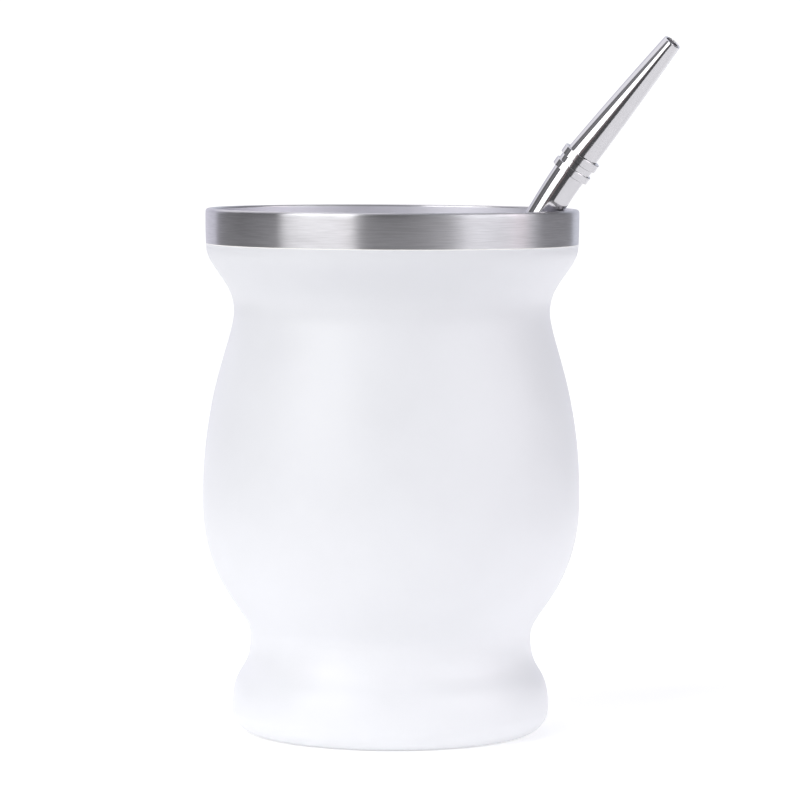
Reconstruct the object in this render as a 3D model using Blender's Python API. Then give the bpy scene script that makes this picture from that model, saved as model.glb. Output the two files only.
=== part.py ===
"""Insulated steel mate cup with a leaning metal straw.

A double-walled cup: a white powder-coated outer shell, and a steel liner whose
lip and rim band stay bare. A three-piece straw stands in it: a bent tube, a
two-ring collar and a mouthpiece that is pressed flatter towards its tip.

Metres, +Z up. The origin is the centre of the cup's underside, and the straw
leans towards +X and a little towards -Y.
"""

import math

import bmesh
import bpy
from mathutils import Vector

MM = 0.001
GAP = 0.3 * MM  # clearance left between pieces that meet

# The cup's turned outline, as (radius, height) where it is widest or narrowest.
CUP_HEIGHT = 106.4 * MM
BAND_TOP = (37.9 * MM, 105.4 * MM)
BAND_WIDEST = (38.0 * MM, 102.8 * MM)
BAND_BOTTOM = (37.83 * MM, 99.5 * MM)
NECK = (32.1 * MM, 85.6 * MM)
BELLY = (38.4 * MM, 47.6 * MM)
WAIST = (28.6 * MM, 19.5 * MM)
FOOT = (32.3 * MM, 4.8 * MM)
FOOT_CORNER = 4.4 * MM  # how far the foot's rounded corner reaches inwards

# How long each run of the outline stays upright: the share of its height that
# the curve's handle takes where it leaves one extreme and reaches the next.
FLARE_HANDLES = (0.40, 0.46)
SHOULDER_HANDLES = (0.15, 0.575)
BELLY_HANDLES = (0.66, 0.19)
FOOT_HANDLES = (0.57, 0.62)

SHELL_WALL = 0.8 * MM
SHELL_FLOOR = 1.2 * MM
SHELL_EDGE = 0.2 * MM  # rounding of the shell's upper edge
GROOVE = (21.5 * MM, 24.0 * MM, 0.5 * MM)  # under the cup: inner and outer radius, depth

# The liner: its inside, as (radius, height), and its lip.
LINER_WALL = 0.8 * MM
LIP_OUTER_ROUND = 1.0 * MM
LIP_INNER_ROUND = 0.5 * MM
MOUTH_RADIUS = BAND_TOP[0] - LIP_OUTER_ROUND - LIP_INNER_ROUND
LINER_NECK = (29.0 * MM, 85.6 * MM)
LINER_BELLY = (34.8 * MM, 48.0 * MM)
LINER_FLOOR = 20.0 * MM
LINER_FLOOR_FLAT = 17.0 * MM  # radius of the floor's level part
LINER_FLARE_HANDLES = (0.45, 0.40)
LINER_SHOULDER_HANDLES = (0.20, 0.55)
LINER_BOWL_DROP = 17.4 * MM  # the bowl's curve: its handle down from the belly
LINER_BOWL_REACH = 7.0 * MM  # and its handle out from the floor's level part
TUCK = 1.5 * MM  # how far the band's bottom reaches down behind the shell
TUCK_CLEARANCE = 0.7 * MM  # between that and the shell's inner side

# The straw leans in a vertical plane just in front of the cup's axis and rests on the lip.
STRAW_TURN = math.radians(-15.0)  # that plane's direction, from +X
STRAW_ASIDE = 2.3 * MM  # how far the plane lies in front of the axis
STRAW_LEAN = math.radians(32.0)  # the tube inside the cup, from upright
COLLAR_LEAN = math.radians(35.3)
MOUTH_LEAN = math.radians(38.7)  # the mouthpiece
FOOT_CLEARANCE = 0.5 * MM  # under the tube's lower end, where the bowl starts to rise
BEND_START = 1.3 * MM  # above the lip, along the tube
BEND_RADIUS = 134.0 * MM
TUBE_RADIUS = 3.15 * MM
TUBE_BORE = 2.6 * MM
TUBE_FLARE = 3.35 * MM  # radius where the tube enters the collar
FLARE_LENGTH = 2.5 * MM

# The collar, from its lower face up: two rings with a groove between them.
LOWER_RING = 1.5 * MM
COLLAR_GROOVE = 1.3 * MM
UPPER_RING = 1.7 * MM
RING_RADIUS = 4.0 * MM
COLLAR_GROOVE_RADIUS = 3.55 * MM
RING_EDGE = 0.2 * MM
SOCKET = 1.0 * MM  # how deep the tube and the mouthpiece sit in the collar
COLLAR_LENGTH = LOWER_RING + COLLAR_GROOVE + UPPER_RING

MOUTHPIECE_LENGTH = 28.8 * MM  # above the collar
MOUTHPIECE_BASE = 3.2 * MM  # radius where it is still round
MOUTHPIECE_MIDDLE = 2.65 * MM  # half its thickness halfway up: the taper is a little convex
MOUTHPIECE_TIP = 1.87 * MM  # half its thickness at the tip
MOUTHPIECE_ROLL = math.radians(9.0)  # its broad way is turned about the straw by this
MOUTHPIECE_WALL = 0.5 * MM
TIP_ROUND = 0.25 * MM

# How finely the pieces are divided: round the axis, and along each run of an outline.
CUP_SEGMENTS = 56
STRAW_SEGMENTS = 24
SHELL_OUTSIDE_STEPS = (7, 9, 8, 6)
SHELL_INSIDE_STEPS = (4, 5, 4, 3)
FOOT_OUTSIDE_STEPS = 5
FOOT_INSIDE_STEPS = 2
LINER_WALL_STEPS = 6
LINER_BOWL_STEPS = 8
LIP_INNER_STEPS = 2
LIP_OUTER_STEPS = 4
BEND_STEPS = 6
TAPER_STEPS = 8
TIP_STEPS = 6
SHARP_ANGLE = math.radians(40)  # steeper edges than this are shaded sharp
MERGE_DISTANCE = 0.001 * MM  # joins the first and last ring of a turned piece

WHITE_COAT = (0.80, 0.81, 0.83)
BRUSHED_STEEL = (0.58, 0.58, 0.59)
POLISHED_STEEL = (0.66, 0.66, 0.67)


def clear_scene():
    for old in list(bpy.data.objects):
        bpy.data.objects.remove(old, do_unlink=True)


def material(name, colour, roughness, metallic):
    made = bpy.data.materials.new(name)
    made.use_nodes = True
    shader = made.node_tree.nodes["Principled BSDF"]
    shader.inputs["Base Color"].default_value = (*colour, 1.0)
    shader.inputs["Roughness"].default_value = roughness
    shader.inputs["Metallic"].default_value = metallic
    made.diffuse_color = (*colour, 1.0)
    return made


def curve_points(start, leaving, arriving, end, steps):
    """The points of a cubic curve after its start, up to and with its end."""
    points = []
    for step in range(1, steps + 1):
        t = step / steps
        weights = ((1 - t) ** 3, 3 * (1 - t) ** 2 * t, 3 * (1 - t) * t**2, t**3)
        corners = (start, leaving, arriving, end)
        points.append(tuple(sum(w * c[axis] for w, c in zip(weights, corners)) for axis in (0, 1)))
    return points


def between_extremes(start, end, handles, steps):
    """A run of the outline that is upright at both of its ends."""
    rise = end[1] - start[1]
    leaving = (start[0], start[1] + handles[0] * rise)
    arriving = (end[0], end[1] - handles[1] * rise)
    return curve_points(start, leaving, arriving, end, steps)


def arc_points(centre, radii, first, last, steps):
    """The points of a quarter ellipse after its start; angles in degrees from +X."""
    points = []
    for step in range(1, steps + 1):
        angle = math.radians(first + (last - first) * step / steps)
        points.append((centre[0] + radii[0] * math.cos(angle), centre[1] + radii[1] * math.sin(angle)))
    return points


def beside(points, distance):
    """The same run moved sideways: to the right of its direction, or to the left if negative."""
    moved = []
    for index, point in enumerate(points):
        before = points[max(index - 1, 0)]
        after = points[min(index + 1, len(points) - 1)]
        along = Vector((after[0] - before[0], after[1] - before[1])).normalized()
        moved.append((point[0] + along.y * distance, point[1] - along.x * distance))
    return moved


def turned(name, profile, segments, finish):
    """A closed body: the profile goes up its inner side and down its outer side."""
    mesh = bpy.data.meshes.new(name)
    edges = [(index, index + 1) for index in range(len(profile) - 1)]
    if profile[0][0] > 0:
        edges.append((len(profile) - 1, 0))
    mesh.from_pydata([(radius, 0.0, height) for radius, height in profile], edges, [])
    piece = bpy.data.objects.new(name, mesh)
    bpy.context.collection.objects.link(piece)
    screw = piece.modifiers.new("Turn", "SCREW")
    screw.axis = "Z"
    screw.angle = math.tau
    screw.steps = segments
    screw.render_steps = segments
    screw.use_merge_vertices = True
    screw.merge_threshold = MERGE_DISTANCE
    screw.use_smooth_shade = True
    mesh.materials.append(finish)
    return piece


def shell_side(inset, steps):
    """The shell's side below its upper edge, down to the foot's widest point, moved in by the inset."""
    below_edge = (BAND_BOTTOM[0], BAND_BOTTOM[1] - GAP - SHELL_EDGE)
    extremes = [(radius - inset, height) for radius, height in (below_edge, NECK, BELLY, WAIST, FOOT)]
    handles = (FLARE_HANDLES, SHOULDER_HANDLES, BELLY_HANDLES, FOOT_HANDLES)
    points = [extremes[0]]
    for start, end, run_handles, run_steps in zip(extremes, extremes[1:], handles, steps):
        points += between_extremes(start, end, run_handles, run_steps)
    return points


def make_shell(finish):
    shell_top = BAND_BOTTOM[1] - GAP
    foot_centre = (FOOT[0] - FOOT_CORNER, FOOT[1])
    outside = [(BAND_BOTTOM[0] - SHELL_EDGE, shell_top)] + shell_side(0.0, SHELL_OUTSIDE_STEPS)
    outside += arc_points(foot_centre, (FOOT_CORNER, FOOT[1]), 0, -90, FOOT_OUTSIDE_STEPS)
    inside = [(BAND_BOTTOM[0] - SHELL_WALL, shell_top)] + shell_side(SHELL_WALL, SHELL_INSIDE_STEPS)
    inner_corner = (FOOT_CORNER - SHELL_WALL, FOOT[1] - SHELL_FLOOR)
    inside += arc_points(foot_centre, inner_corner, 0, -90, FOOT_INSIDE_STEPS)
    groove_inner, groove_outer, groove_depth = GROOVE
    underside = [
        (groove_outer, 0.0),
        (groove_outer, groove_depth),
        (groove_inner, groove_depth),
        (groove_inner, 0.0),
        (0.0, 0.0),
    ]
    profile = [(0.0, SHELL_FLOOR)] + inside[::-1] + outside + underside
    return turned("outer_shell", profile, CUP_SEGMENTS, finish)


def liner_inside():
    """The drinking side of the liner, from the lip's inner edge down to the floor's level part."""
    mouth = (MOUTH_RADIUS, CUP_HEIGHT - LIP_INNER_ROUND)
    points = [mouth]
    points += between_extremes(mouth, LINER_NECK, LINER_FLARE_HANDLES, LINER_WALL_STEPS)
    points += between_extremes(LINER_NECK, LINER_BELLY, LINER_SHOULDER_HANDLES, LINER_WALL_STEPS)
    leaving = (LINER_BELLY[0], LINER_BELLY[1] - LINER_BOWL_DROP)
    arriving = (LINER_FLOOR_FLAT + LINER_BOWL_REACH, LINER_FLOOR)
    floor_edge = (LINER_FLOOR_FLAT, LINER_FLOOR)
    points += curve_points(LINER_BELLY, leaving, arriving, floor_edge, LINER_BOWL_STEPS)
    return points


def make_liner(finish):
    inside = liner_inside()
    lip_centre = (BAND_TOP[0] - LIP_OUTER_ROUND, BAND_TOP[1])
    inner_centre = (lip_centre[0], CUP_HEIGHT - LIP_INNER_ROUND)
    lip = arc_points(inner_centre, (LIP_INNER_ROUND, LIP_INNER_ROUND), 180, 90, LIP_INNER_STEPS)
    lip += arc_points(lip_centre, (LIP_OUTER_ROUND, LIP_OUTER_ROUND), 90, 0, LIP_OUTER_STEPS)
    band = [BAND_WIDEST, BAND_BOTTOM]
    tuck_radius = BAND_BOTTOM[0] - SHELL_WALL - TUCK_CLEARANCE
    tuck = [(tuck_radius, BAND_BOTTOM[1]), (tuck_radius, BAND_BOTTOM[1] - TUCK)]
    outside = [point for point in beside(inside[::2], -LINER_WALL) if point[1] < tuck[-1][1] - TUCK / 2]
    profile = [(0.0, LINER_FLOOR)] + inside[::-1] + lip + band + tuck + outside
    profile += [(0.0, LINER_FLOOR - LINER_WALL)]
    return turned("steel_liner", profile, CUP_SEGMENTS, finish)


def straw_path():
    """The tube's centre line in the straw's own plane, from the cup's floor to the collar."""
    reach = MOUTH_RADIUS - GAP - TUBE_RADIUS / math.cos(STRAW_LEAN)
    at_lip = Vector((math.sqrt(reach**2 - STRAW_ASIDE**2), CUP_HEIGHT))
    upwards = Vector((math.sin(STRAW_LEAN), math.cos(STRAW_LEAN)))
    foot_height = LINER_FLOOR + FOOT_CLEARANCE + TUBE_RADIUS * math.sin(STRAW_LEAN)
    below = (CUP_HEIGHT - foot_height) / math.cos(STRAW_LEAN)
    foot = at_lip - upwards * below
    bend = at_lip + upwards * BEND_START
    points = [foot, (foot + bend) / 2, bend]
    for step in range(1, BEND_STEPS + 1):
        lean = STRAW_LEAN + (COLLAR_LEAN - STRAW_LEAN) * step / BEND_STEPS
        across = math.cos(STRAW_LEAN) - math.cos(lean)
        rise = math.sin(lean) - math.sin(STRAW_LEAN)
        points.append(bend + BEND_RADIUS * Vector((across, rise)))
    return points


def tube_radius(centre, collar_end):
    """The tube's outer radius, which swells just below the collar."""
    nearness = max(0.0, 1.0 - (collar_end - centre).length / FLARE_LENGTH)
    return TUBE_RADIUS + nearness * (TUBE_FLARE - TUBE_RADIUS)


def swept_rings(work, stations, radii):
    """Rings of points square to the path, one at each station."""
    rings = []
    for index, (centre, radius) in enumerate(zip(stations, radii)):
        ahead = stations[min(index + 1, len(stations) - 1)]
        behind = stations[max(index - 1, 0)]
        along = (ahead - behind).normalized()
        sideways = Vector((along.y, -along.x))
        ring = []
        for turn in range(STRAW_SEGMENTS):
            angle = math.tau * turn / STRAW_SEGMENTS
            across = centre + sideways * radius * math.cos(angle)
            ring.append(work.verts.new((across.x, radius * math.sin(angle), across.y)))
        rings.append(ring)
    return rings


def join_rings(work, lower, upper):
    """Quads between two rings with the same number of points."""
    count = len(lower)
    for turn in range(count):
        after = (turn + 1) % count
        work.faces.new((lower[turn], lower[after], upper[after], upper[turn]))


def ringed(work, name, loop, parent, finish):
    """A hollow body whose rings follow each other up its outside and down its bore, or the
    other way round, with the last joined to the first."""
    for lower, upper in zip(loop, loop[1:] + loop[:1]):
        join_rings(work, lower, upper)
    bmesh.ops.recalc_face_normals(work, faces=work.faces)
    mesh = bpy.data.meshes.new(name)
    work.to_mesh(mesh)
    work.free()
    mesh.shade_smooth()
    mesh.set_sharp_from_angle(angle=SHARP_ANGLE)
    mesh.materials.append(finish)
    piece = bpy.data.objects.new(name, mesh)
    bpy.context.collection.objects.link(piece)
    piece.parent = parent
    return piece


def make_tube(path, parent, finish):
    """A hollow tube swept along the path, open at both ends and flared at its upper end."""
    towards_collar = Vector((math.sin(COLLAR_LEAN), math.cos(COLLAR_LEAN)))
    stations = path + [path[-1] + towards_collar * (SOCKET - GAP)]
    work = bmesh.new()
    outside = swept_rings(work, stations, [tube_radius(centre, path[-1]) for centre in stations])
    bore = swept_rings(work, stations, [TUBE_BORE] * len(stations))
    return ringed(work, "straw_tube", outside + bore[::-1], parent, finish)


def ring_outline(bottom, top):
    """One ring's outside, from its upper edge to its lower one, with rounded edges."""
    return [
        (RING_RADIUS - RING_EDGE, top),
        (RING_RADIUS, top - RING_EDGE),
        (RING_RADIUS, bottom + RING_EDGE),
        (RING_RADIUS - RING_EDGE, bottom),
    ]


def make_collar(parent, finish):
    """The sleeve that joins the tube and the mouthpiece, in line with the tube's upper end."""
    lower_socket = TUBE_FLARE + GAP
    upper_socket = MOUTHPIECE_BASE + GAP
    groove_bottom = LOWER_RING
    groove_top = LOWER_RING + COLLAR_GROOVE
    profile = [
        (lower_socket, 0.0),
        (lower_socket, SOCKET),
        (TUBE_BORE, SOCKET),
        (TUBE_BORE, COLLAR_LENGTH - SOCKET),
        (upper_socket, COLLAR_LENGTH - SOCKET),
        (upper_socket, COLLAR_LENGTH),
    ]
    profile += ring_outline(groove_top, COLLAR_LENGTH)
    profile += [(COLLAR_GROOVE_RADIUS, groove_top), (COLLAR_GROOVE_RADIUS, groove_bottom)]
    profile += ring_outline(0.0, groove_bottom)
    collar = turned("straw_collar", profile, STRAW_SEGMENTS, finish)
    collar.parent = parent
    return collar


def half_thickness(height):
    """Half the mouthpiece's thickness at a height above the collar."""
    t = (MOUTHPIECE_LENGTH - TIP_ROUND - height) / (MOUTHPIECE_LENGTH - TIP_ROUND)
    t = min(max(t, 0.0), 1.0)
    swell = 2 * MOUTHPIECE_MIDDLE - (MOUTHPIECE_BASE + MOUTHPIECE_TIP) / 2
    return (1 - t) ** 2 * MOUTHPIECE_TIP + 2 * t * (1 - t) * swell + t**2 * MOUTHPIECE_BASE


def extra_breadth(height):
    """How much further the mouthpiece reaches the broad way than the thin way: the round
    tube is pressed flat without changing its girth."""
    half = half_thickness(height)
    return math.sqrt(2 * MOUTHPIECE_BASE**2 - half**2) - half


def make_mouthpiece(parent, finish):
    """The upper end: hollow, round at the collar and pressed flatter towards its rounded rim.
    It starts inside the collar's upper face, high enough to clear the socket although it
    leans a little more."""
    bottom = GAP - SOCKET + MOUTHPIECE_BASE * math.sin(MOUTH_LEAN - COLLAR_LEAN)
    rim_start = MOUTHPIECE_LENGTH - TIP_ROUND
    heights = [rim_start * (1 - step / TAPER_STEPS) for step in range(TAPER_STEPS + 1)]
    outside = [(half_thickness(height), height) for height in heights]
    bore = [(radius - MOUTHPIECE_WALL, height) for radius, height in outside[::2]]
    bore.append((MOUTHPIECE_BASE - MOUTHPIECE_WALL, bottom))
    rim_centre = (MOUTHPIECE_TIP - MOUTHPIECE_WALL / 2, rim_start)
    rim = arc_points(rim_centre, (MOUTHPIECE_WALL / 2, TIP_ROUND), 180, 0, TIP_STEPS)
    profile = bore[::-1] + rim + outside[1:] + [(MOUTHPIECE_BASE, bottom)]
    work = bmesh.new()
    loop = []
    for radius, height in profile:
        breadth = radius + extra_breadth(height)
        ring = []
        for turn in range(STRAW_SEGMENTS):
            angle = math.tau * turn / STRAW_SEGMENTS
            ring.append(work.verts.new((radius * math.cos(angle), breadth * math.sin(angle), height)))
        loop.append(ring)
    return ringed(work, "straw_mouthpiece", loop, parent, finish)


def empty(name, location, rotation, parent=None):
    made = bpy.data.objects.new(name, None)
    bpy.context.collection.objects.link(made)
    made.location = location
    made.rotation_euler = rotation
    made.parent = parent
    return made


def main():
    clear_scene()
    coat = material("white powder coat", WHITE_COAT, roughness=0.42, metallic=0.0)
    brushed = material("brushed stainless steel", BRUSHED_STEEL, roughness=0.32, metallic=1.0)
    polished = material("polished stainless steel", POLISHED_STEEL, roughness=0.12, metallic=1.0)
    make_shell(coat)
    make_liner(brushed)
    path = straw_path()
    aside = (STRAW_ASIDE * math.sin(STRAW_TURN), -STRAW_ASIDE * math.cos(STRAW_TURN), 0.0)
    straw = empty("straw_plane", aside, (0.0, 0.0, STRAW_TURN))
    make_tube(path, straw, polished)
    collar_axis = empty("collar_axis", (path[-1].x, 0.0, path[-1].y), (0.0, COLLAR_LEAN, 0.0), straw)
    make_collar(collar_axis, polished)
    mouth_turn = (0.0, MOUTH_LEAN - COLLAR_LEAN, MOUTHPIECE_ROLL)
    mouth_axis = empty("mouth_axis", (0.0, 0.0, COLLAR_LENGTH), mouth_turn, collar_axis)
    make_mouthpiece(mouth_axis, polished)


main()
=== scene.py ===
"""Looks of an insulated steel mate cup with a leaning metal straw.

Laid out as an add-on: each operator builds one piece of the cup, or one group of
like pieces, and the last one sets up the photo table. Metres, +Z up, in the frame
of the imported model: the origin is the centre of the cup's underside.
"""

import math

import bpy
from mathutils import Matrix, Vector


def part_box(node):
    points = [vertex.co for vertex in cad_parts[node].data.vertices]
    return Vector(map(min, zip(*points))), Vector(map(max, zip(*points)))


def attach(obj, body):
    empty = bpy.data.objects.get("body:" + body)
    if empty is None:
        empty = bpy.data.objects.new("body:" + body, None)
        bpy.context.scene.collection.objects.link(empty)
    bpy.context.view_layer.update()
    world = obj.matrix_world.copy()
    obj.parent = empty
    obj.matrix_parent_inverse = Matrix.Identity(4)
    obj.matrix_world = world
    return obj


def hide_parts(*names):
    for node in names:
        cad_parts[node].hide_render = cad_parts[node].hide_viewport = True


bl_info = {
    "name": "Mate Cup",
    "version": (1, 0, 0),
    "blender": (4, 5, 0),
    "location": "3D View > Sidebar > Mate Cup",
    "description": "Builds a coated steel mate cup with a brushed rim and a polished straw",
    "category": "Object",
}

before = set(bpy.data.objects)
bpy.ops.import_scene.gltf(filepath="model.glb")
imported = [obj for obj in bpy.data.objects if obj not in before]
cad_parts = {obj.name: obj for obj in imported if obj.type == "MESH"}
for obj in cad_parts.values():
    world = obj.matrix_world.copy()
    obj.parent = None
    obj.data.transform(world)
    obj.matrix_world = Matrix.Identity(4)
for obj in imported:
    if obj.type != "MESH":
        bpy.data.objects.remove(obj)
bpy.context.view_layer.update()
MM = 0.001
BODY = "root"

# The cup's turned outline, by radius and height where it is widest or narrowest.
SHELL_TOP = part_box("outer_shell")[1]
LINER_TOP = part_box("steel_liner")[1]
LIP_HEIGHT = LINER_TOP.z
BAND_SHOULDER = 37.9 * MM  # the band's radius where the lip's rounding begins
BAND_WIDEST = (LINER_TOP.x - 0.1 * MM, 102.8 * MM)
BAND_BOTTOM = (37.78 * MM, 99.5 * MM)
NECK_HEIGHT = 85.6 * MM
BELLY_HEIGHT = 47.6 * MM
WAIST_HEIGHT = 19.5 * MM
FOOT_HEIGHT = 4.8 * MM
FOOT_CORNER = 4.4 * MM  # how far the foot's rounded corner reaches inwards

# The share of each run's height that its curve's handles take, from the top down.
FLARE_HANDLES = (0.34, 0.46)
SHOULDER_HANDLES = (0.15, 0.575)
BELLY_HANDLES = (0.66, 0.19)
FOOT_HANDLES = (0.57, 0.62)

SHELL_WALL = 0.8 * MM
SHELL_FLOOR = 1.2 * MM
COAT_EDGE = 0.28 * MM  # rounding of the coat where it ends under the bare band
COAT_EDGE_START = 100  # degrees: the rounding begins a little past its top
COAT_BUILD = 0.08 * MM  # how far the coat stands proud of the band there
COAT_FEATHER = 0.6 * MM  # the height over which that build-up thins out
COAT_FEATHER_HANDLES = (0.4, 0.4)
GROOVE = (21.5 * MM, 24.0 * MM, 0.5 * MM)  # under the cup: inner and outer radius, depth
GROOVE_ROUND = 0.2 * MM

# The liner: its lip, the band below it, and its inside, by radius and height.
LINER_WALL = 0.8 * MM
MOUTH_RADIUS = 36.4 * MM
LIP_OUTER_ROUND = 0.6 * MM
LIP_OUTER_END = 8  # degrees: the rounding ends just before it is upright
LIP_INNER_ROUND = 0.5 * MM
BELOW_LIP = (0.05 * MM, 0.8 * MM)  # the band's first handle: out and down from the lip
ABOVE_WIDEST = 2.2 * MM  # its second one, below the lip's top
BAND_HANDLES = (0.3, 0.3)
BAND_END = (0.04 * MM, 0.2 * MM)  # the band runs on behind the coat: out and down
LINER_NECK = (29.0 * MM, 85.6 * MM)
LINER_BELLY = (34.8 * MM, 48.0 * MM)
LINER_FLOOR = 20.0 * MM
LINER_FLOOR_FLAT = 17.0 * MM
LINER_FLOOR_SHARES = (0.75, 0.5, 0.25, 0.0)  # rings on the level part, by its radius
LINER_FLARE_HANDLES = (0.45, 0.40)
LINER_SHOULDER_HANDLES = (0.20, 0.55)
LINER_BOWL_DROP = 17.4 * MM  # the bowl's curve: its handle down from the belly
LINER_BOWL_REACH = 7.0 * MM  # and its handle out from the floor's level part
TUCK = 1.5 * MM  # how far the band's inner edge reaches down between the walls
TUCK_CLEARANCE = 0.7 * MM
OUTSIDE_THINNING = 3  # the liner's hidden outside keeps one point in this many
GAP = 0.3 * MM

# The straw leans in a vertical plane just in front of the cup's axis and rests on the lip.
STRAW_TURN = math.radians(-15.0)
STRAW_ASIDE = 2.3 * MM
COLLAR_LEAN = math.radians(35.3)
MOUTH_LEAN = math.radians(38.7)
FOOT_CLEARANCE = 0.5 * MM
BEND_START = 1.3 * MM  # above the lip, along the tube
BEND_RADIUS = 134.0 * MM
TUBE_BORE = 2.6 * MM
TUBE_FLARE = 3.35 * MM  # radius where the tube enters the collar
FLARE_LENGTH = 16.0 * MM  # the tube swells to that over this length
LOWER_RING = 1.5 * MM
COLLAR_GROOVE = 1.3 * MM
UPPER_RING = 1.7 * MM
RING_RADIUS = 4.0 * MM
COLLAR_GROOVE_RADIUS = 3.55 * MM
RING_EDGE = 0.07 * MM
SOCKET = 1.0 * MM
SOCKET_CLEARANCE = 0.06 * MM  # the fine dark line round what enters the collar
COLLAR_LENGTH = LOWER_RING + COLLAR_GROOVE + UPPER_RING
MOUTHPIECE_BASE = 3.2 * MM  # radius where it is still round
MOUTHPIECE_MIDDLE = 2.65 * MM  # half its thickness halfway up
MOUTHPIECE_TIP = 1.87 * MM  # half its thickness at the tip
MOUTHPIECE_ROLL = math.radians(9.0)  # its broad way is turned about the straw by this
MOUTHPIECE_WALL = 0.5 * MM
TIP_ROUND = 0.25 * MM

# How finely the turned and swept surfaces are divided.
CUP_SEGMENTS = 168
STRAW_SEGMENTS = 72
RUN_STEPS = 26
HIDDEN_STEPS = 8
ROUND_STEPS = 7
SHARP_ANGLE = math.radians(30.0)  # edges that turn more than this stay crisp
TUBE_STEPS = 30

# The camera, fitted to the outline in an image of 800 by 800 pixels.
CAMERA_PLACE = (0.0, -803.5 * MM, 125.6 * MM)
CAMERA_PITCH = math.radians(4.138)
CAMERA_YAW = math.radians(0.122)
CAMERA_ROLL = math.radians(0.263)
CAMERA_LENS = 178.05
CAMERA_SENSOR = 36.0


def linear(code):
    """An sRGB hex colour as linear red, green and blue."""
    shares = [int(code[place:place + 2], 16) / 255 for place in (1, 3, 5)]
    return tuple(s / 12.92 if s <= 0.04045 else ((s + 0.055) / 1.055) ** 2.4 for s in shares)


class MateCupSizes(bpy.types.PropertyGroup):
    """The sizes that give the cup and the straw their form."""

    neck_radius: bpy.props.FloatProperty(
        name="Neck radius", description="Outside of the narrowest place under the rim",
        default=32.1 * MM, min=0.02, max=0.06, unit="LENGTH", precision=4)
    belly_radius: bpy.props.FloatProperty(
        name="Belly radius", description="Outside of the widest place",
        default=SHELL_TOP.x, min=0.02, max=0.06, unit="LENGTH", precision=4)
    waist_radius: bpy.props.FloatProperty(
        name="Waist radius", description="Outside of the narrowest place above the foot",
        default=28.6 * MM, min=0.02, max=0.06, unit="LENGTH", precision=4)
    foot_radius: bpy.props.FloatProperty(
        name="Foot radius", description="Outside of the foot",
        default=32.3 * MM, min=0.02, max=0.06, unit="LENGTH", precision=4)
    straw_radius: bpy.props.FloatProperty(
        name="Straw radius", description="Outside of the straw's tube",
        default=3.15 * MM, min=0.002, max=0.006, unit="LENGTH", precision=4)
    straw_lean: bpy.props.FloatProperty(
        name="Straw lean", description="Angle of the straw inside the cup from upright",
        default=math.radians(32.0), min=0.0, max=0.8, unit="ROTATION", subtype="ANGLE")
    mouthpiece_length: bpy.props.FloatProperty(
        name="Mouthpiece length", description="Length of the pressed end above the collar",
        default=28.8 * MM, min=0.01, max=0.08, unit="LENGTH", precision=4)


class MateCupColours(bpy.types.PropertyGroup):
    """The colours of the finishes."""

    coat: bpy.props.FloatVectorProperty(
        name="Powder coat", description="Colour of the coated outside",
        default=linear("#E2E3E6"), subtype="COLOR", size=3, min=0.0, max=1.0)
    # Lighter than the coat: a painted highlight for the fine bright line where the coat ends under the
    # band.
    coat_edge_highlight: bpy.props.FloatVectorProperty(
        name="Powder coat's edge", description="Colour of the coat's edge, lightened as a painted highlight, under the band",
        default=linear("#FDFCF8"), subtype="COLOR", size=3, min=0.0, max=1.0)
    band: bpy.props.FloatVectorProperty(
        name="Brushed steel", description="Colour of the bare rim band and lip",
        default=linear("#C3C2C5"), subtype="COLOR", size=3, min=0.0, max=1.0)
    inside: bpy.props.FloatVectorProperty(
        name="Inner steel", description="Colour of the drinking side of the liner",
        default=linear("#D4D3DA"), subtype="COLOR", size=3, min=0.0, max=1.0)
    straw: bpy.props.FloatVectorProperty(
        name="Polished steel", description="Colour of the straw",
        default=linear("#C6C5C7"), subtype="COLOR", size=3, min=0.0, max=1.0)


class MateCupStudio(bpy.types.PropertyGroup):
    """The table and the light."""

    table_colour: bpy.props.FloatVectorProperty(
        name="Table colour", description="Colour of the table top",
        default=linear("#F2F2F2"), subtype="COLOR", size=3, min=0.0, max=1.0)
    table_glow: bpy.props.FloatProperty(
        name="Table glow", description="Light that comes up through the table top",
        default=0.33, min=0.0, max=3.0)
    light: bpy.props.FloatProperty(
        name="Light", description="Strength of all the studio light together",
        default=1.0, min=0.0, max=10.0)


def add_node(tree, kind, inputs=None, **settings):
    """Adds a node. Settings are its properties; inputs are values or sockets for its sockets."""
    made = tree.nodes.new(kind)
    for name, value in settings.items():
        setattr(made, name, value)
    for key, value in (inputs or {}).items():
        if isinstance(value, bpy.types.NodeSocket):
            tree.links.new(value, made.inputs[key])
        else:
            made.inputs[key].default_value = value
    return made


def new_material(name, **values):
    """A material with one Principled shader; the values are set on its own sockets."""
    made = bpy.data.materials.new(name)
    made.use_nodes = True
    tree = made.node_tree
    tree.nodes.clear()
    own_values = {name.replace("_", " "): value for name, value in values.items()}
    shader = add_node(tree, "ShaderNodeBsdfPrincipled", own_values)
    add_node(tree, "ShaderNodeOutputMaterial", {"Surface": shader.outputs["BSDF"]})
    return made, tree, shader


def lathe_noise(tree, length, width, detail=2.0, roughness=0.5):
    """Noise in streaks that run round the axis: their real length and width, in metres."""
    place = add_node(tree, "ShaderNodeAttribute", attribute_name="lathe")
    scaled = add_node(tree, "ShaderNodeVectorMath", {0: place.outputs["Vector"],
                      1: (1 / length, 1 / length, 1 / width)}, operation="MULTIPLY")
    return add_node(tree, "ShaderNodeTexNoise", {"Vector": scaled.outputs["Vector"], "Scale": 1.0,
                    "Detail": detail, "Roughness": roughness}).outputs["Fac"]


def object_noise(tree, size, detail=2.0, roughness=0.5):
    """Noise that is alike in all directions, with features of that size in metres."""
    place = add_node(tree, "ShaderNodeTexCoord")
    return add_node(tree, "ShaderNodeTexNoise", {"Vector": place.outputs["Object"], "Scale": 1 / size,
                    "Detail": detail, "Roughness": roughness}).outputs["Fac"]


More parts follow.
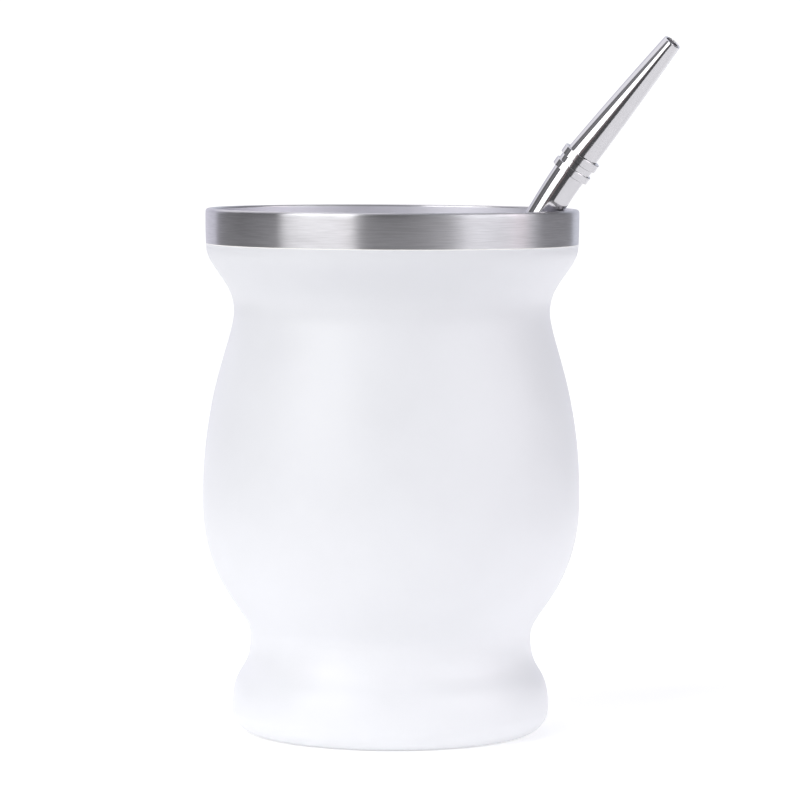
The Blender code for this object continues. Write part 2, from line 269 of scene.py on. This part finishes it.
def spread(tree, value, low, high, to_low, to_high):
    """A value's range moved from low..high to another range."""
    return add_node(tree, "ShaderNodeMapRange", {"Value": value, "From Min": low, "From Max": high,
                    "To Min": to_low, "To Max": to_high}).outputs["Result"]


def tinted(tree, colour, value, low, high):
    """A colour made darker and lighter by the factor: low at 0.3 of the noise, high at 0.7."""
    factor = spread(tree, value, 0.3, 0.7, low, high)
    return add_node(tree, "ShaderNodeVectorMath", {0: tuple(colour), "Scale": factor},
                    operation="SCALE").outputs["Vector"]


def bumped(tree, shader, heights):
    """Relief from (height from 0 to 1, real depth in metres) pairs, finest last."""
    normal = None
    for height, depth in heights:
        bump = add_node(tree, "ShaderNodeBump", {"Height": height, "Distance": depth, "Strength": 1.0})
        if normal:
            tree.links.new(normal, bump.inputs["Normal"])
        normal = bump.outputs["Normal"]
    tree.links.new(normal, shader.inputs["Normal"])


def powder_coat(colour, name):
    """Polyester powder coat, baked on steel. It flows out into a satin skin with a fine orange peel,
    which breaks the soft highlights very slightly. Along its edge under the band it stands a little
    proud, and there it is given a lighter colour: a painted highlight that draws a fine brighter line."""
    made, tree, shader = new_material(name, IOR=1.5)
    peel = object_noise(tree, 0.9 * MM, detail=1.0)
    grain = object_noise(tree, 0.22 * MM, detail=1.5)
    mottle = object_noise(tree, 9.0 * MM, detail=3.0)
    tree.links.new(tinted(tree, colour, mottle, 0.992, 1.008), shader.inputs["Base Color"])
    tree.links.new(spread(tree, mottle, 0.3, 0.7, 0.37, 0.43), shader.inputs["Roughness"])
    bumped(tree, shader, [(peel, 0.010 * MM), (grain, 0.0022 * MM)])
    return made


def brushed_steel(colour):
    """Stainless steel, brushed by turning it against an abrasive belt. Fine lines run round
    the axis, so a highlight is sharp sideways and smeared up and down, with a ragged edge.
    The real scratches are about 0.03 mm wide; they are drawn 0.2 mm wide so that they show."""
    made, tree, shader = new_material("Stainless steel, belt-brushed round the axis", Metallic=1.0,
                                      Anisotropic=0.95, Anisotropic_Rotation=0.25)
    tangent = add_node(tree, "ShaderNodeTangent", direction_type="RADIAL", axis="Z")
    tree.links.new(tangent.outputs["Tangent"], shader.inputs["Tangent"])
    scratches = lathe_noise(tree, 5.0 * MM, 0.2 * MM, detail=3.0, roughness=0.6)
    clouds = lathe_noise(tree, 7.0 * MM, 5.0 * MM, detail=2.0)
    tree.links.new(tinted(tree, colour, scratches, 0.89, 1.09), shader.inputs["Base Color"])
    tree.links.new(spread(tree, clouds, 0.3, 0.7, 0.29, 0.33), shader.inputs["Roughness"])
    bumped(tree, shader, [(scratches, 0.006 * MM)])
    return made


def drawn_steel(colour):
    """Stainless steel, deep drawn and electropolished inside. A soft, slightly cloudy satin,
    with faint turning lines left by the forming."""
    made, tree, shader = new_material("Stainless steel, drawn and electropolished", Metallic=1.0)
    clouds = object_noise(tree, 6.0 * MM, detail=4.0, roughness=0.6)
    grain = object_noise(tree, 0.25 * MM, detail=2.0)
    lines = lathe_noise(tree, 25.0 * MM, 0.5 * MM, detail=3.0)
    tree.links.new(tinted(tree, colour, clouds, 0.95, 1.03), shader.inputs["Base Color"])
    tree.links.new(spread(tree, clouds, 0.3, 0.7, 0.56, 0.64), shader.inputs["Roughness"])
    bumped(tree, shader, [(lines, 0.004 * MM), (grain, 0.0016 * MM)])
    return made


def polished_steel(colour):
    """Stainless steel tube, buffed on a wheel. Nearly a mirror across, and a little satin
    along the straw from fine rings that the wheel leaves, drawn 0.1 mm wide so that they show."""
    made, tree, shader = new_material("Stainless steel, wheel-polished", Metallic=1.0)
    rings = lathe_noise(tree, 5.0 * MM, 0.10 * MM, detail=2.0)
    smears = object_noise(tree, 2.4 * MM, detail=3.0, roughness=0.6)
    tree.links.new(tinted(tree, colour, smears, 0.98, 1.02), shader.inputs["Base Color"])
    tree.links.new(spread(tree, smears, 0.3, 0.7, 0.07, 0.13), shader.inputs["Roughness"])
    bumped(tree, shader, [(rings, 0.0006 * MM)])
    return made


def curve_points(start, leaving, arriving, end, steps):
    """The points of a cubic curve after its start, up to and with its end."""
    corners = [Vector(corner) for corner in (start, leaving, arriving, end)]
    points = []
    for step in range(1, steps + 1):
        t = step / steps
        weights = ((1 - t) ** 3, 3 * (1 - t) ** 2 * t, 3 * (1 - t) * t**2, t**3)
        points.append(tuple(sum((w * c for w, c in zip(weights, corners)), Vector((0.0, 0.0)))))
    return points


def between_extremes(start, end, handles, steps):
    """A run of the outline that is upright at both of its ends."""
    rise = end[1] - start[1]
    leaving = (start[0], start[1] + handles[0] * rise)
    arriving = (end[0], end[1] - handles[1] * rise)
    return curve_points(start, leaving, arriving, end, steps)


def arc_points(centre, radii, first, last, steps=ROUND_STEPS):
    """The points of part of an ellipse, both ends included; angles in degrees from +X."""
    angles = [math.radians(first + (last - first) * step / steps) for step in range(steps + 1)]
    return [(centre[0] + radii[0] * math.cos(a), centre[1] + radii[1] * math.sin(a)) for a in angles]


def beside(points, distance):
    """The same run moved sideways: to the right of its direction, or to the left if negative."""
    moved = []
    for index, point in enumerate(points):
        before = points[max(index - 1, 0)]
        after = points[min(index + 1, len(points) - 1)]
        along = Vector((after[0] - before[0], after[1] - before[1])).normalized()
        moved.append((point[0] + along.y * distance, point[1] - along.x * distance))
    return moved


def skin(name, rings, finishes, looped):
    """One closed body from rings of (place, pattern place) pairs; a ring of one pair is a pole.
    Finishes gives the material's number for the strip that follows each ring."""
    places = []
    patterns = []
    starts = []
    for ring in rings:
        starts.append(len(places))
        places += [place for place, pattern in ring]
        patterns += [pattern for place, pattern in ring]
    faces = []
    slots = []
    pairs = list(zip(range(len(rings)), range(1, len(rings))))
    if looped:
        pairs.append((len(rings) - 1, 0))
    for here, there in pairs:
        count = max(len(rings[here]), len(rings[there]))
        for turn in range(count):
            corners = []
            for ring, spot in ((here, turn), (here, turn + 1), (there, turn + 1), (there, turn)):
                corner = starts[ring] + spot % len(rings[ring])
                if corner not in corners:
                    corners.append(corner)
            faces.append(corners[::-1])
            slots.append(finishes[here])
    mesh = bpy.data.meshes.new(name)
    mesh.from_pydata(places, [], faces)
    mesh.polygons.foreach_set("material_index", slots)
    pattern = mesh.attributes.new("lathe", "FLOAT_VECTOR", "POINT")
    pattern.data.foreach_set("vector", [number for place in patterns for number in place])
    mesh.validate()
    mesh.shade_smooth()
    mesh.set_sharp_from_angle(angle=SHARP_ANGLE)
    made = bpy.data.objects.new(name, mesh)
    bpy.context.scene.collection.objects.link(made)
    return made


def lathe(name, runs, segments, looped=False, broader=lambda height: 0.0):
    """A turned body from runs of (points, material number), up its inner side and down its
    outer side. Broader gives how much further it reaches one way at a height, if it is flat."""
    rings = []
    finishes = []
    along = 0.0
    last = None
    for points, finish in runs:
        for radius, height in points:
            along += math.dist((radius, height), last) if last else 0.0
            last = (radius, height)
            ring = []
            for turn in range(segments if radius > 0 else 1):
                angle = math.tau * turn / segments
                across = radius * math.cos(angle)
                deep = (radius + broader(height)) * math.sin(angle)
                ring.append(((across, deep, height), (across, deep, along)))
            rings.append(ring)
            finishes.append(finish)
    return skin(name, rings, finishes, looped)


def dress(piece, materials, slot, *nodes):
    """Gives a piece its finishes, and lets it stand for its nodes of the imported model."""
    for material in materials:
        piece.data.materials.append(material)
    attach(piece, BODY)
    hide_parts(*nodes)


def shell_side(sizes, inset, steps):
    """The shell's side from under the band down to the foot's widest point, moved in by
    the inset."""
    below_band = (BAND_BOTTOM[0], BAND_BOTTOM[1] - COAT_FEATHER)
    extremes = (below_band, (sizes.neck_radius, NECK_HEIGHT), (sizes.belly_radius, BELLY_HEIGHT),
                (sizes.waist_radius, WAIST_HEIGHT), (sizes.foot_radius, FOOT_HEIGHT))
    extremes = [(radius - inset, height) for radius, height in extremes]
    points = [extremes[0]]
    all_handles = (FLARE_HANDLES, SHOULDER_HANDLES, BELLY_HANDLES, FOOT_HANDLES)
    for start, end, handles in zip(extremes, extremes[1:], all_handles):
        points += between_extremes(start, end, handles, steps)
    return points


class OBJECT_OT_mate_cup_shell(bpy.types.Operator):
    """Builds the powder-coated outer shell"""

    bl_idname = "object.mate_cup_shell"
    bl_label = "Coated Shell"

    def execute(self, context):
        sizes = context.scene.mate_cup_sizes
        foot = (sizes.foot_radius - FOOT_CORNER, FOOT_HEIGHT)
        proud = BAND_BOTTOM[0] + COAT_BUILD
        edge_centre = (proud - COAT_EDGE, BAND_BOTTOM[1] - COAT_EDGE)
        edge = arc_points(edge_centre, (COAT_EDGE, COAT_EDGE), COAT_EDGE_START, 0)
        side = shell_side(sizes, 0.0, RUN_STEPS)
        outside = edge + between_extremes(edge[-1], side[0], COAT_FEATHER_HANDLES, ROUND_STEPS)
        outside += side[1:]
        outside += arc_points(foot, (FOOT_CORNER, FOOT_HEIGHT), 0, -90, 2 * ROUND_STEPS)[1:]
        inner, outer, depth = GROOVE
        turn = (GROOVE_ROUND, GROOVE_ROUND)
        underside = arc_points((outer + GROOVE_ROUND, GROOVE_ROUND), turn, 270, 180)
        underside += [(outer, depth), (inner, depth)]
        underside += arc_points((inner - GROOVE_ROUND, GROOVE_ROUND), turn, 0, -90)
        underside += [(inner / 2, 0.0), (0.0, 0.0)]
        within = [(BAND_BOTTOM[0] - SHELL_WALL, BAND_BOTTOM[1] - GAP)]
        within += shell_side(sizes, SHELL_WALL, HIDDEN_STEPS)
        corner = (FOOT_CORNER - SHELL_WALL, FOOT_HEIGHT - SHELL_FLOOR)
        within += arc_points(foot, corner, 0, -90)[1:]
        tucked = (edge[0][0], BAND_BOTTOM[1] - GAP)
        hidden = [(0.0, SHELL_FLOOR)] + within[::-1] + [tucked]
        # The coat's rounded edge under the band takes the second finish, whose lighter colour is a
        # painted highlight.
        runs = [(hidden, 0), (outside[:ROUND_STEPS], 1), (outside[ROUND_STEPS:] + underside, 0)]
        shell = lathe("coated_shell", runs, CUP_SEGMENTS)
        colours = context.scene.mate_cup_colours
        # The second coat is the same powder coat in a lighter colour: a painted highlight along the
        # edge under the band.
        coats = [powder_coat(colours.coat, "Polyester powder coat, baked satin"),
                 powder_coat(colours.coat_edge_highlight, "Polyester powder coat, thick along its edge")]
        dress(shell, coats, "powder_coat", "outer_shell")
        return {"FINISHED"}


class OBJECT_OT_mate_cup_liner(bpy.types.Operator):
    """Builds the steel liner with its bare rim band and rolled lip"""

    bl_idname = "object.mate_cup_liner"
    bl_label = "Steel Liner"

    def execute(self, context):
        mouth = (MOUTH_RADIUS, LIP_HEIGHT - LIP_INNER_ROUND)
        inside = [mouth] + between_extremes(mouth, LINER_NECK, LINER_FLARE_HANDLES, RUN_STEPS)
        inside += between_extremes(LINER_NECK, LINER_BELLY, LINER_SHOULDER_HANDLES, RUN_STEPS)
        leaving = (LINER_BELLY[0], LINER_BELLY[1] - LINER_BOWL_DROP)
        arriving = (LINER_FLOOR_FLAT + LINER_BOWL_REACH, LINER_FLOOR)
        floor_edge = (LINER_FLOOR_FLAT, LINER_FLOOR)
        inside += curve_points(LINER_BELLY, leaving, arriving, floor_edge, RUN_STEPS)
        inside += [(LINER_FLOOR_FLAT * share, LINER_FLOOR) for share in LINER_FLOOR_SHARES]
        inner_centre = (mouth[0] + LIP_INNER_ROUND, mouth[1])
        lip = arc_points(inner_centre, (LIP_INNER_ROUND, LIP_INNER_ROUND), 180, 90)[1:]
        outer_centre = (BAND_SHOULDER - LIP_OUTER_ROUND, LIP_HEIGHT - LIP_OUTER_ROUND)
        outer_radii = (LIP_OUTER_ROUND, LIP_OUTER_ROUND)
        lip += arc_points(outer_centre, outer_radii, 90, LIP_OUTER_END, 2 * ROUND_STEPS)
        below_lip = (lip[-1][0] + BELOW_LIP[0], lip[-1][1] - BELOW_LIP[1])
        above_widest = (BAND_WIDEST[0], LIP_HEIGHT - ABOVE_WIDEST)
        band_end = (BAND_BOTTOM[0] + BAND_END[0], BAND_BOTTOM[1] - BAND_END[1])
        band = curve_points(lip[-1], below_lip, above_widest, BAND_WIDEST, ROUND_STEPS)
        band += between_extremes(BAND_WIDEST, band_end, BAND_HANDLES, ROUND_STEPS)
        tuck_radius = BAND_BOTTOM[0] - SHELL_WALL - TUCK_CLEARANCE
        tuck = [(tuck_radius, band[-1][1]), (tuck_radius, band[-1][1] - TUCK)]
        walls = beside(inside, -LINER_WALL)[:-len(LINER_FLOOR_SHARES):OUTSIDE_THINNING]
        below = [point for point in walls if point[1] < tuck[1][1] - TUCK]
        below += [(LINER_FLOOR_FLAT, LINER_FLOOR - LINER_WALL), (0.0, LINER_FLOOR - LINER_WALL)]
        runs = [(inside[::-1], 1), (lip + band, 0), (tuck + below, 1)]
        liner = lathe("steel_cup", runs, CUP_SEGMENTS)
        colours = context.scene.mate_cup_colours
        finishes = [brushed_steel(colours.band), drawn_steel(colours.inside)]
        dress(liner, finishes, "brushed_band", "steel_liner")
        return {"FINISHED"}


def straw_path(sizes):
    """The tube's centre line in the straw's own plane, from the cup's floor to the collar."""
    lean = sizes.straw_lean
    reach = MOUTH_RADIUS - GAP - sizes.straw_radius / math.cos(lean)
    at_lip = Vector((math.sqrt(reach**2 - STRAW_ASIDE**2), LIP_HEIGHT))
    upwards = Vector((math.sin(lean), math.cos(lean)))
    foot_height = LINER_FLOOR + FOOT_CLEARANCE + sizes.straw_radius * math.sin(lean)
    foot = at_lip - upwards * (LIP_HEIGHT - foot_height) / math.cos(lean)
    bend = at_lip + upwards * BEND_START
    points = [foot.lerp(bend, step / TUBE_STEPS) for step in range(TUBE_STEPS + 1)]
    for step in range(1, TUBE_STEPS + 1):
        angle = lean + (COLLAR_LEAN - lean) * step / TUBE_STEPS
        turned = Vector((math.cos(lean) - math.cos(angle), math.sin(angle) - math.sin(lean)))
        points.append(bend + BEND_RADIUS * turned)
    return points


def tube_rings(stations, radii, alongs):
    """Rings of points square to the path, with the pattern's place for each point."""
    rings = []
    for index, (centre, radius, along) in enumerate(zip(stations, radii, alongs)):
        ahead = stations[min(index + 1, len(stations) - 1)]
        behind = stations[max(index - 1, 0)]
        direction = (ahead - behind).normalized()
        sideways = Vector((direction.y, -direction.x))
        ring = []
        for turn in range(STRAW_SEGMENTS):
            angle = math.tau * turn / STRAW_SEGMENTS
            across = radius * math.cos(angle)
            deep = radius * math.sin(angle)
            place = centre + sideways * across
            ring.append(((place.x, deep, place.y), (across, deep, along)))
        rings.append(ring)
    return rings


class OBJECT_OT_mate_cup_straw(bpy.types.Operator):
    """Builds the straw: its bent tube, two-ring collar and pressed mouthpiece"""

    bl_idname = "object.mate_cup_straw"
    bl_label = "Straw"

    def execute(self, context):
        sizes = context.scene.mate_cup_sizes
        path = straw_path(sizes)
        steel = [polished_steel(context.scene.mate_cup_colours.straw)]
        plane = Matrix.Rotation(STRAW_TURN, 4, "Z") @ Matrix.Translation((0.0, -STRAW_ASIDE, 0.0))
        collar = plane @ Matrix.Translation((path[-1].x, 0.0, path[-1].y))
        collar = collar @ Matrix.Rotation(COLLAR_LEAN, 4, "Y")
        mouth = collar @ Matrix.Translation((0.0, 0.0, COLLAR_LENGTH))
        mouth = mouth @ Matrix.Rotation(MOUTHPIECE_ROLL, 4, "Z")
        mouth = mouth @ Matrix.Rotation(MOUTH_LEAN - COLLAR_LEAN, 4, "Y")
        pieces = ((self.tube(sizes, path), plane, "straw_tube"),
                  (self.collar(), collar, "straw_collar"),
                  (self.mouthpiece(sizes), mouth, "straw_mouthpiece"))
        for piece, place, node in pieces:
            piece.matrix_world = place
            dress(piece, steel, "straw_steel", node)
        return {"FINISHED"}

    def tube(self, sizes, path):
        """The hollow tube, open at both ends, which swells a little towards the collar."""
        upwards = Vector((math.sin(COLLAR_LEAN), math.cos(COLLAR_LEAN)))
        stations = path + [path[-1] + upwards * (SOCKET - GAP)]
        radii = []
        alongs = []
        along = 0.0
        last = stations[0]
        for centre in stations:
            nearness = max(0.0, 1.0 - (path[-1] - centre).length / FLARE_LENGTH)
            radii.append(sizes.straw_radius + nearness * (TUBE_FLARE - sizes.straw_radius))
            along += (centre - last).length
            alongs.append(along)
            last = centre
        rings = tube_rings(stations, radii, alongs)
        rings += tube_rings(stations, [TUBE_BORE] * len(stations), alongs)[::-1]
        return skin("bent_tube", rings, [0] * len(rings), looped=True)

    def collar(self):
        """Two rings with a groove between them, each with finely broken edges."""
        lower_socket = TUBE_FLARE + SOCKET_CLEARANCE
        upper_socket = MOUTHPIECE_BASE + SOCKET_CLEARANCE
        groove_top = LOWER_RING + COLLAR_GROOVE
        bevel = (RING_EDGE, RING_EDGE)
        points = [(lower_socket, 0.0), (lower_socket, SOCKET), (TUBE_BORE, SOCKET)]
        points += [(TUBE_BORE, COLLAR_LENGTH - SOCKET), (upper_socket, COLLAR_LENGTH - SOCKET)]
        points += [(upper_socket, COLLAR_LENGTH)]
        for bottom, top in ((groove_top, COLLAR_LENGTH), (0.0, LOWER_RING)):
            side = RING_RADIUS - RING_EDGE
            points += arc_points((side, top - RING_EDGE), bevel, 90, 0, steps=1)
            points += arc_points((side, bottom + RING_EDGE), bevel, 0, -90, steps=1)
            if bottom:
                points += [(COLLAR_GROOVE_RADIUS, groove_top), (COLLAR_GROOVE_RADIUS, LOWER_RING)]
        return lathe("two_ring_collar", [(points, 0)], STRAW_SEGMENTS, looped=True)

    def mouthpiece(self, sizes):
        """The hollow upper end, round at the collar and pressed flatter towards its rounded rim."""
        bottom = GAP - SOCKET + MOUTHPIECE_BASE * math.sin(MOUTH_LEAN - COLLAR_LEAN)
        rim_start = sizes.mouthpiece_length - TIP_ROUND
        swell = 2 * MOUTHPIECE_MIDDLE - (MOUTHPIECE_BASE + MOUTHPIECE_TIP) / 2

        def half_thickness(height):
            """A smooth, slightly convex taper from the round end to the tip."""
            t = min(max(1 - height / rim_start, 0.0), 1.0)
            return (1 - t) ** 2 * MOUTHPIECE_TIP + 2 * t * (1 - t) * swell + t**2 * MOUTHPIECE_BASE

        def extra_breadth(height):
            """Pressing the round tube flat doesn't change its girth."""
            half = half_thickness(height)
            return math.sqrt(2 * MOUTHPIECE_BASE**2 - half**2) - half

        heights = [rim_start * (1 - step / RUN_STEPS) for step in range(RUN_STEPS + 1)]
        outside = [(half_thickness(height), height) for height in heights]
        bore = [(half - MOUTHPIECE_WALL, height) for half, height in outside]
        bore.append((MOUTHPIECE_BASE - MOUTHPIECE_WALL, bottom))
        rim_centre = (MOUTHPIECE_TIP - MOUTHPIECE_WALL / 2, rim_start)
        rim = arc_points(rim_centre, (MOUTHPIECE_WALL / 2, TIP_ROUND), 180, 0, 2 * ROUND_STEPS)
        points = bore[::-1] + rim[1:] + outside[1:] + [(MOUTHPIECE_BASE, bottom)]
        return lathe("pressed_mouthpiece", [(points, 0)], STRAW_SEGMENTS, looped=True,
                     broader=extra_breadth)


# Soft boxes of light all round, by direction in degrees. Azimuth 0 is towards the camera and
# 90 to the right; elevation is above the horizon. Each has (middle, half width, soft edge) in
# azimuth and in elevation, how far its middle leans left for each degree up (right where that
# is negative), and its light in red, green and blue. Overlapping boxes add up.
LIGHT_BOXES = (
    ("left softbox", (-47.0, 25.1, 1.6), (29.5, 25.0, 1.5), 0.06, (3.0, 3.0, 3.0)),
    ("left wall", (-98.0, 22.0, 4.0), (27.0, 15.0, 4.0), 0.0, (0.06, 0.06, 0.065)),
    ("left wall, strip", (-92.0, 5.0, 3.0), (27.0, 12.0, 4.0), 0.0, (0.10, 0.10, 0.105)),
    ("left sail", (-43.0, 24.0, 8.0), (60.0, 30.0, 6.0), 0.0, (0.3, 0.3, 0.31)),
    ("ceiling", (0.0, 200.0, 1.0), (90.0, 45.0, 30.0), 0.0, (0.38, 0.38, 0.39)),
    ("right softbox", (69.5, 27.0, 12.0), (20.0, 18.0, 4.0), 0.0, (2.4, 2.4, 2.48)),
    ("right softbox, warm edge", (86.0, 6.0, 4.0), (22.0, 20.0, 5.0), 0.0, (0.35, 0.12, 0.16)),
    ("right panel", (118.0, 25.0, 5.0), (4.0, 20.0, 6.0), 0.0, (0.16, 0.16, 0.175)),
    ("right fill", (36.0, 18.0, 16.0), (20.0, 18.0, 4.0), 0.0, (0.5, 0.5, 0.51)),
    ("backdrop, left", (-180.0, 44.0, 1.5), (0.0, 95.0, 1.0), -0.60, (0.66, 0.65, 0.75)),
    ("backdrop, left, upper", (-180.0, 60.0, 1.5), (38.0, 18.0, 4.0), 0.0, (0.40, 0.40, 0.36)),
    ("backdrop, right", (180.0, 34.0, 6.0), (0.0, 95.0, 1.0), 0.0, (0.59, 0.61, 0.70)),
    ("room in front", (-28.0, 2.5, 2.0), (-4.0, 9.0, 3.0), 0.0, (0.22, 0.14, 0.14)),
)
DARK_ROOM = (0.12, 0.12, 0.125)  # the light from every direction, under the boxes
SEEN_WHITE = (1.1, 1.1, 1.1)  # what the camera sees behind the table

# The table's edges, in metres. Its reflection in the straw ends at them.
TABLE_RIGHT = 0.34
TABLE_FRONT = -0.29
TABLE_BACK = 0.9


class OBJECT_OT_mate_cup_stage(bpy.types.Operator):
    """Sets up the pale table, the soft studio light and the camera"""

    bl_idname = "object.mate_cup_stage"
    bl_label = "Stage"

    def execute(self, context):
        studio = context.scene.mate_cup_studio
        self.table(studio)
        self.light(context.scene, studio)
        self.camera(context.scene)
        context.scene.view_settings.view_transform = "Standard"
        return {"FINISHED"}

    def table(self, studio):
        """A pale table top of sanded opal acrylic, lit a little from below."""
        made, tree, shader = new_material("Opal acrylic, sanded matt", IOR=1.49,
                                          Emission_Strength=studio.table_glow)
        cloud = object_noise(tree, 120.0 * MM)
        colour = tinted(tree, studio.table_colour, cloud, 0.995, 1.005)
        tree.links.new(colour, shader.inputs["Base Color"])
        tree.links.new(spread(tree, cloud, 0.3, 0.7, 0.62, 0.70), shader.inputs["Roughness"])
        shader.inputs["Emission Color"].default_value = (*studio.table_colour, 1.0)
        mesh = bpy.data.meshes.new("table_top")
        corners = [(-TABLE_RIGHT, TABLE_FRONT, 0.0), (TABLE_RIGHT, TABLE_FRONT, 0.0),
                   (TABLE_RIGHT, TABLE_BACK, 0.0), (-TABLE_RIGHT, TABLE_BACK, 0.0)]
        mesh.from_pydata(corners, [], [(0, 1, 2, 3)])
        mesh.materials.append(made)
        top = bpy.data.objects.new("table_top", mesh)
        bpy.context.scene.collection.objects.link(top)

    def light(self, scene, studio):
        """The studio as light by direction: soft boxes, a white backdrop and dark gaps."""
        world = bpy.data.worlds.new("Studio")
        scene.world = world
        world.use_nodes = True
        tree = world.node_tree
        tree.nodes.clear()
        look = add_node(tree, "ShaderNodeTexCoord")
        axes = add_node(tree, "ShaderNodeSeparateXYZ", {0: look.outputs["Generated"]})
        front = add_node(tree, "ShaderNodeMath", {0: axes.outputs["Y"], 1: -1.0},
                         operation="MULTIPLY")
        side = add_node(tree, "ShaderNodeMath", {0: axes.outputs["X"], 1: front.outputs["Value"]},
                        operation="ARCTAN2")
        up = add_node(tree, "ShaderNodeMath", {0: axes.outputs["Z"]}, operation="ARCSINE")
        azimuth = add_node(tree, "ShaderNodeMath", {0: side.outputs["Value"]},
                           operation="DEGREES").outputs["Value"]
        elevation = add_node(tree, "ShaderNodeMath", {0: up.outputs["Value"]},
                             operation="DEGREES").outputs["Value"]

        def inside(angle, limits):
            """1 within the limits and 0 outside, with a soft edge."""
            middle, half, soft = limits
            off = add_node(tree, "ShaderNodeMath", {0: angle, 1: middle}, operation="SUBTRACT")
            far = add_node(tree, "ShaderNodeMath", {0: off.outputs["Value"]}, operation="ABSOLUTE")
            edge = {"Value": far.outputs["Value"], "From Min": half - soft,
                    "From Max": half + soft, "To Min": 1.0, "To Max": 0.0}
            return add_node(tree, "ShaderNodeMapRange", edge,
                            interpolation_type="SMOOTHSTEP").outputs["Result"]

        def added(total, share, colour):
            """The light so far, with that share of a colour on top."""
            part = add_node(tree, "ShaderNodeVectorMath", {0: colour, "Scale": share},
                            operation="SCALE")
            return add_node(tree, "ShaderNodeVectorMath", {0: total, 1: part.outputs["Vector"]},
                            operation="ADD").outputs["Vector"]

        total = DARK_ROOM
        for name, across, height, lean, colour in LIGHT_BOXES:
            shift = add_node(tree, "ShaderNodeMath", {0: elevation, 1: lean, 2: azimuth},
                             operation="MULTIPLY_ADD", label=name)
            share = add_node(tree, "ShaderNodeMath", {0: inside(shift.outputs["Value"], across),
                             1: inside(elevation, height)}, operation="MULTIPLY")
            total = added(total, share.outputs["Value"], colour)
        path = add_node(tree, "ShaderNodeLightPath")
        seen = add_node(tree, "ShaderNodeMix", {"Factor": path.outputs["Is Camera Ray"],
                        "A": total, "B": (*SEEN_WHITE, 1.0)}, data_type="RGBA")
        glow = add_node(tree, "ShaderNodeBackground", {"Color": seen.outputs["Result"],
                        "Strength": studio.light})
        add_node(tree, "ShaderNodeOutputWorld", {"Surface": glow.outputs["Background"]})

    def camera(self, scene):
        """The camera at the photograph's viewing angle, with its slight roll."""
        lens = bpy.data.cameras.new("camera")
        lens.sensor_width = CAMERA_SENSOR
        lens.lens = CAMERA_LENS
        camera = bpy.data.objects.new("camera", lens)
        scene.collection.objects.link(camera)
        ahead = Vector((math.sin(CAMERA_YAW) * math.cos(CAMERA_PITCH),
                        math.cos(CAMERA_YAW) * math.cos(CAMERA_PITCH), -math.sin(CAMERA_PITCH)))
        level = Vector((math.cos(CAMERA_YAW), -math.sin(CAMERA_YAW), 0.0))
        upright = level.cross(ahead)
        right = level * math.cos(CAMERA_ROLL) + upright * math.sin(CAMERA_ROLL)
        up = upright * math.cos(CAMERA_ROLL) - level * math.sin(CAMERA_ROLL)
        turn = Matrix((right, up, -ahead)).transposed().to_4x4()
        camera.matrix_world = Matrix.Translation(CAMERA_PLACE) @ turn
        scene.camera = camera


class VIEW3D_PT_mate_cup(bpy.types.Panel):
    """Sizes and colours, with a button for each piece"""

    bl_idname = "VIEW3D_PT_mate_cup"
    bl_label = "Mate Cup"
    bl_space_type = "VIEW_3D"
    bl_region_type = "UI"
    bl_category = "Mate Cup"

    def draw(self, context):
        for group in (context.scene.mate_cup_sizes, context.scene.mate_cup_colours,
                      context.scene.mate_cup_studio):
            column = self.layout.column(align=True)
            for name in group.__annotations__:
                column.prop(group, name)
        for operator in OPERATORS:
            self.layout.operator(operator.bl_idname)


GROUPS = {"mate_cup_sizes": MateCupSizes, "mate_cup_colours": MateCupColours,
          "mate_cup_studio": MateCupStudio}
OPERATORS = (OBJECT_OT_mate_cup_shell, OBJECT_OT_mate_cup_liner, OBJECT_OT_mate_cup_straw,
             OBJECT_OT_mate_cup_stage)
CLASSES = (*GROUPS.values(), *OPERATORS, VIEW3D_PT_mate_cup)


def register():
    for cls in CLASSES:
        bpy.utils.register_class(cls)
    for name, group in GROUPS.items():
        setattr(bpy.types.Scene, name, bpy.props.PointerProperty(type=group))


def unregister():
    for name in GROUPS:
        delattr(bpy.types.Scene, name)
    for cls in reversed(CLASSES):
        bpy.utils.unregister_class(cls)


def main():
    register()
    bpy.ops.object.mate_cup_shell()
    bpy.ops.object.mate_cup_liner()
    bpy.ops.object.mate_cup_straw()
    bpy.ops.object.mate_cup_stage()


if __name__ == "__main__":
    main()
